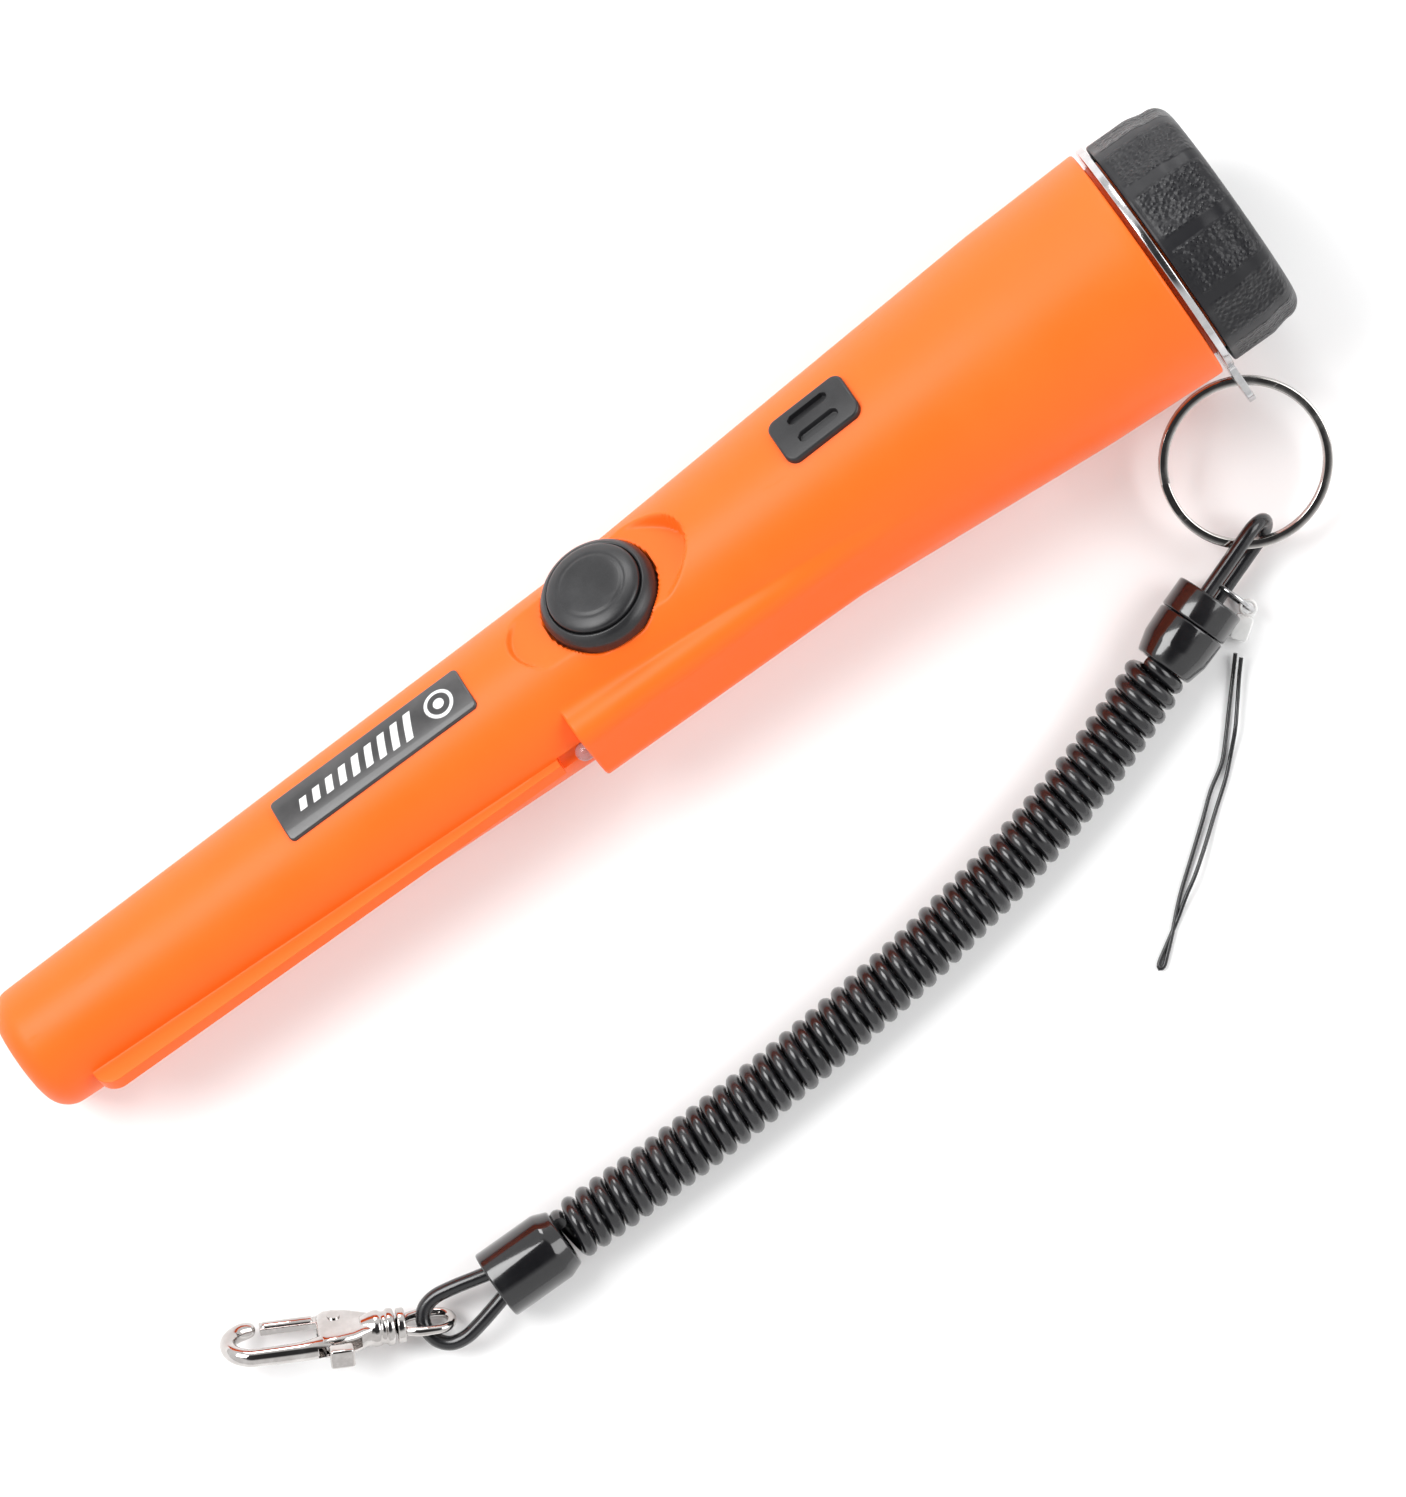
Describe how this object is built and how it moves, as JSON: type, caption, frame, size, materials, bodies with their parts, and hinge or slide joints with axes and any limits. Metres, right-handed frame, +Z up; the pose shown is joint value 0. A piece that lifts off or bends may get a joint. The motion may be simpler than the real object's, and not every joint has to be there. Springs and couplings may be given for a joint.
{
  "type": "pinpointer probe",
  "caption": "Hand-held pinpointing metal probe: tapered shell, push button, speaker grille, lamp, screw battery cap and a coiled lanyard with swivel clasp.",
  "frame": {"origin": "centre of the probe's box at the surface that it lies on, without the lanyard", "axes": "+X from the probe's tip to its battery cap, +Z up from the surface; the lanyard lies on the -Y side"},
  "size_m": [0.242, 0.1163, 0.0429],
  "materials": {
    "housing_orange": "satin orange",
    "black_plastic": "fine leather grain",
    "button_rubber": "satin",
    "gloss_black": "polished",
    "cord_black": "glossy",
    "label_dark": "printed film",
    "grille_black": "fine texture",
    "lamp_clear": "clear",
    "polished_steel": "polished",
    "nickel": "polished",
    "chrome": "bright chrome",
    "ferrite": "sintered",
    "nylon": "natural",
    "copper": "enamelled wire",
    "brass": "machined",
    "board_green": "solder mask",
    "part_dark": "moulded",
    "battery_case": "painted can",
    "foam": "closed-cell foam",
    "white_crimp": "glossy white",
    "seal_rubber": "smooth"
  },
  "bodies": {
    "probe": {"housing": "housing_orange", "label_plate": "label_dark", "speaker_grille": "grille_black", "led_lamp": "lamp_clear", "lanyard_washer": "polished_steel", "neck_o_ring": "seal_rubber", "circuit_board": "board_green", "tact_switch": "part_dark", "buzzer": "part_dark", "vibration_motor": "polished_steel", "ferrite_rod": "ferrite", "coil_former": "nylon", "search_winding": "copper", "chassis": "nylon", "board_screw_front": "polished_steel", "board_screw_rear": "polished_steel", "battery": "battery_case", "battery_snap": "part_dark", "button_seal": "button_rubber"},
    "button": {"button_dome": "button_rubber", "switch_plunger": "nylon"},
    "motor_rotor": {"motor_weight": "brass"},
    "cap_slider": {"battery_pad": "foam"},
    "cap": {"battery_cap": "black_plastic"},
    "ring": {"split_ring": "nickel"},
    "lanyard": {"upper_loop": "cord_black", "upper_ferrule_cap": "gloss_black", "upper_ferrule_body": "gloss_black", "coiled_cord": "cord_black", "lower_ferrule": "gloss_black", "lower_loop": "cord_black"},
    "strap_ring": {"jump_ring": "polished_steel"},
    "strap": {"strap_crimp": "white_crimp", "strap_loop": "cord_black"},
    "clasp_eye": {"clasp_eye": "chrome"},
    "clasp": {"clasp_body": "chrome", "gate_pin": "polished_steel", "gate_spring": "polished_steel"},
    "gate": {"clasp_gate": "chrome"}
  },
  "joints": [
    {"name": "button_press", "type": "slide", "parent": "probe", "child": "button", "axis": [0.039, -0.5736, -0.8182], "range_m": [0, 0.0008], "stiffness_N_per_m": 1500, "springref_m": -0.0002},
    {"name": "motor_spin", "type": "hinge", "parent": "probe", "child": "motor_rotor", "pos_m": [-0.1205, 0.0068, 0.01583], "axis": [0.9989, 0, 0.0476], "continuous": true},
    {"name": "cap_slide", "type": "slide", "parent": "probe", "child": "cap_slider", "axis": [0.9989, 0, 0.0476], "range_m": [0, 0.0091]},
    {"name": "cap_turn", "type": "hinge", "parent": "cap_slider", "child": "cap", "pos_m": [-0.12026, 0.00325, 0.01076], "axis": [0.9989, 0, 0.0476], "range_deg": [0, 1080]},
    {"name": "ring_swing", "type": "hinge", "parent": "probe", "child": "ring", "pos_m": [0.10477, -0.02068, 0.01181], "axis": [-0.9989, 0, -0.0476], "range_deg": [-40, 75]},
    {"name": "lanyard_swing", "type": "hinge", "parent": "ring", "child": "lanyard", "pos_m": [0.09123, -0.04333, 0.00614], "axis": [0.8574, -0.5096, -0.0722], "range_deg": [-30, 45]},
    {"name": "jump_ring_swing", "type": "hinge", "parent": "lanyard", "child": "strap_ring", "pos_m": [0.08357, -0.04711, 0.00311], "axis": [0.9419, 0.336, 0], "range_deg": [0, 30]},
    {"name": "strap_swing", "type": "hinge", "parent": "strap_ring", "child": "strap", "pos_m": [0.08524, -0.05179, 0.00236], "axis": [0.1928, -0.5406, 0.8189], "range_deg": [-4, 35]},
    {"name": "clasp_swing", "type": "hinge", "parent": "lanyard", "child": "clasp_eye", "pos_m": [-0.09066, -0.07095, 0.00471], "axis": [0, 1, 0], "range_deg": [-6, 10]},
    {"name": "clasp_swivel", "type": "hinge", "parent": "clasp_eye", "child": "clasp", "pos_m": [-0.08686, -0.07175, 0.00311], "axis": [-0.8742, 0.4731, 0.1094], "continuous": true},
    {"name": "gate_open", "type": "hinge", "parent": "clasp", "child": "gate", "pos_m": [-0.10397, -0.06113, 0.00323], "axis": [0.4603, 0.7356, 0.497], "range_deg": [0, 18], "stiffness_Nm_per_rad": 0.02, "springref_deg": -11.46}
  ],
  "couplings": [
    {"joint": "cap_slide", "follows": "cap_turn", "m_per_rad": 0.00047746}
  ]
}
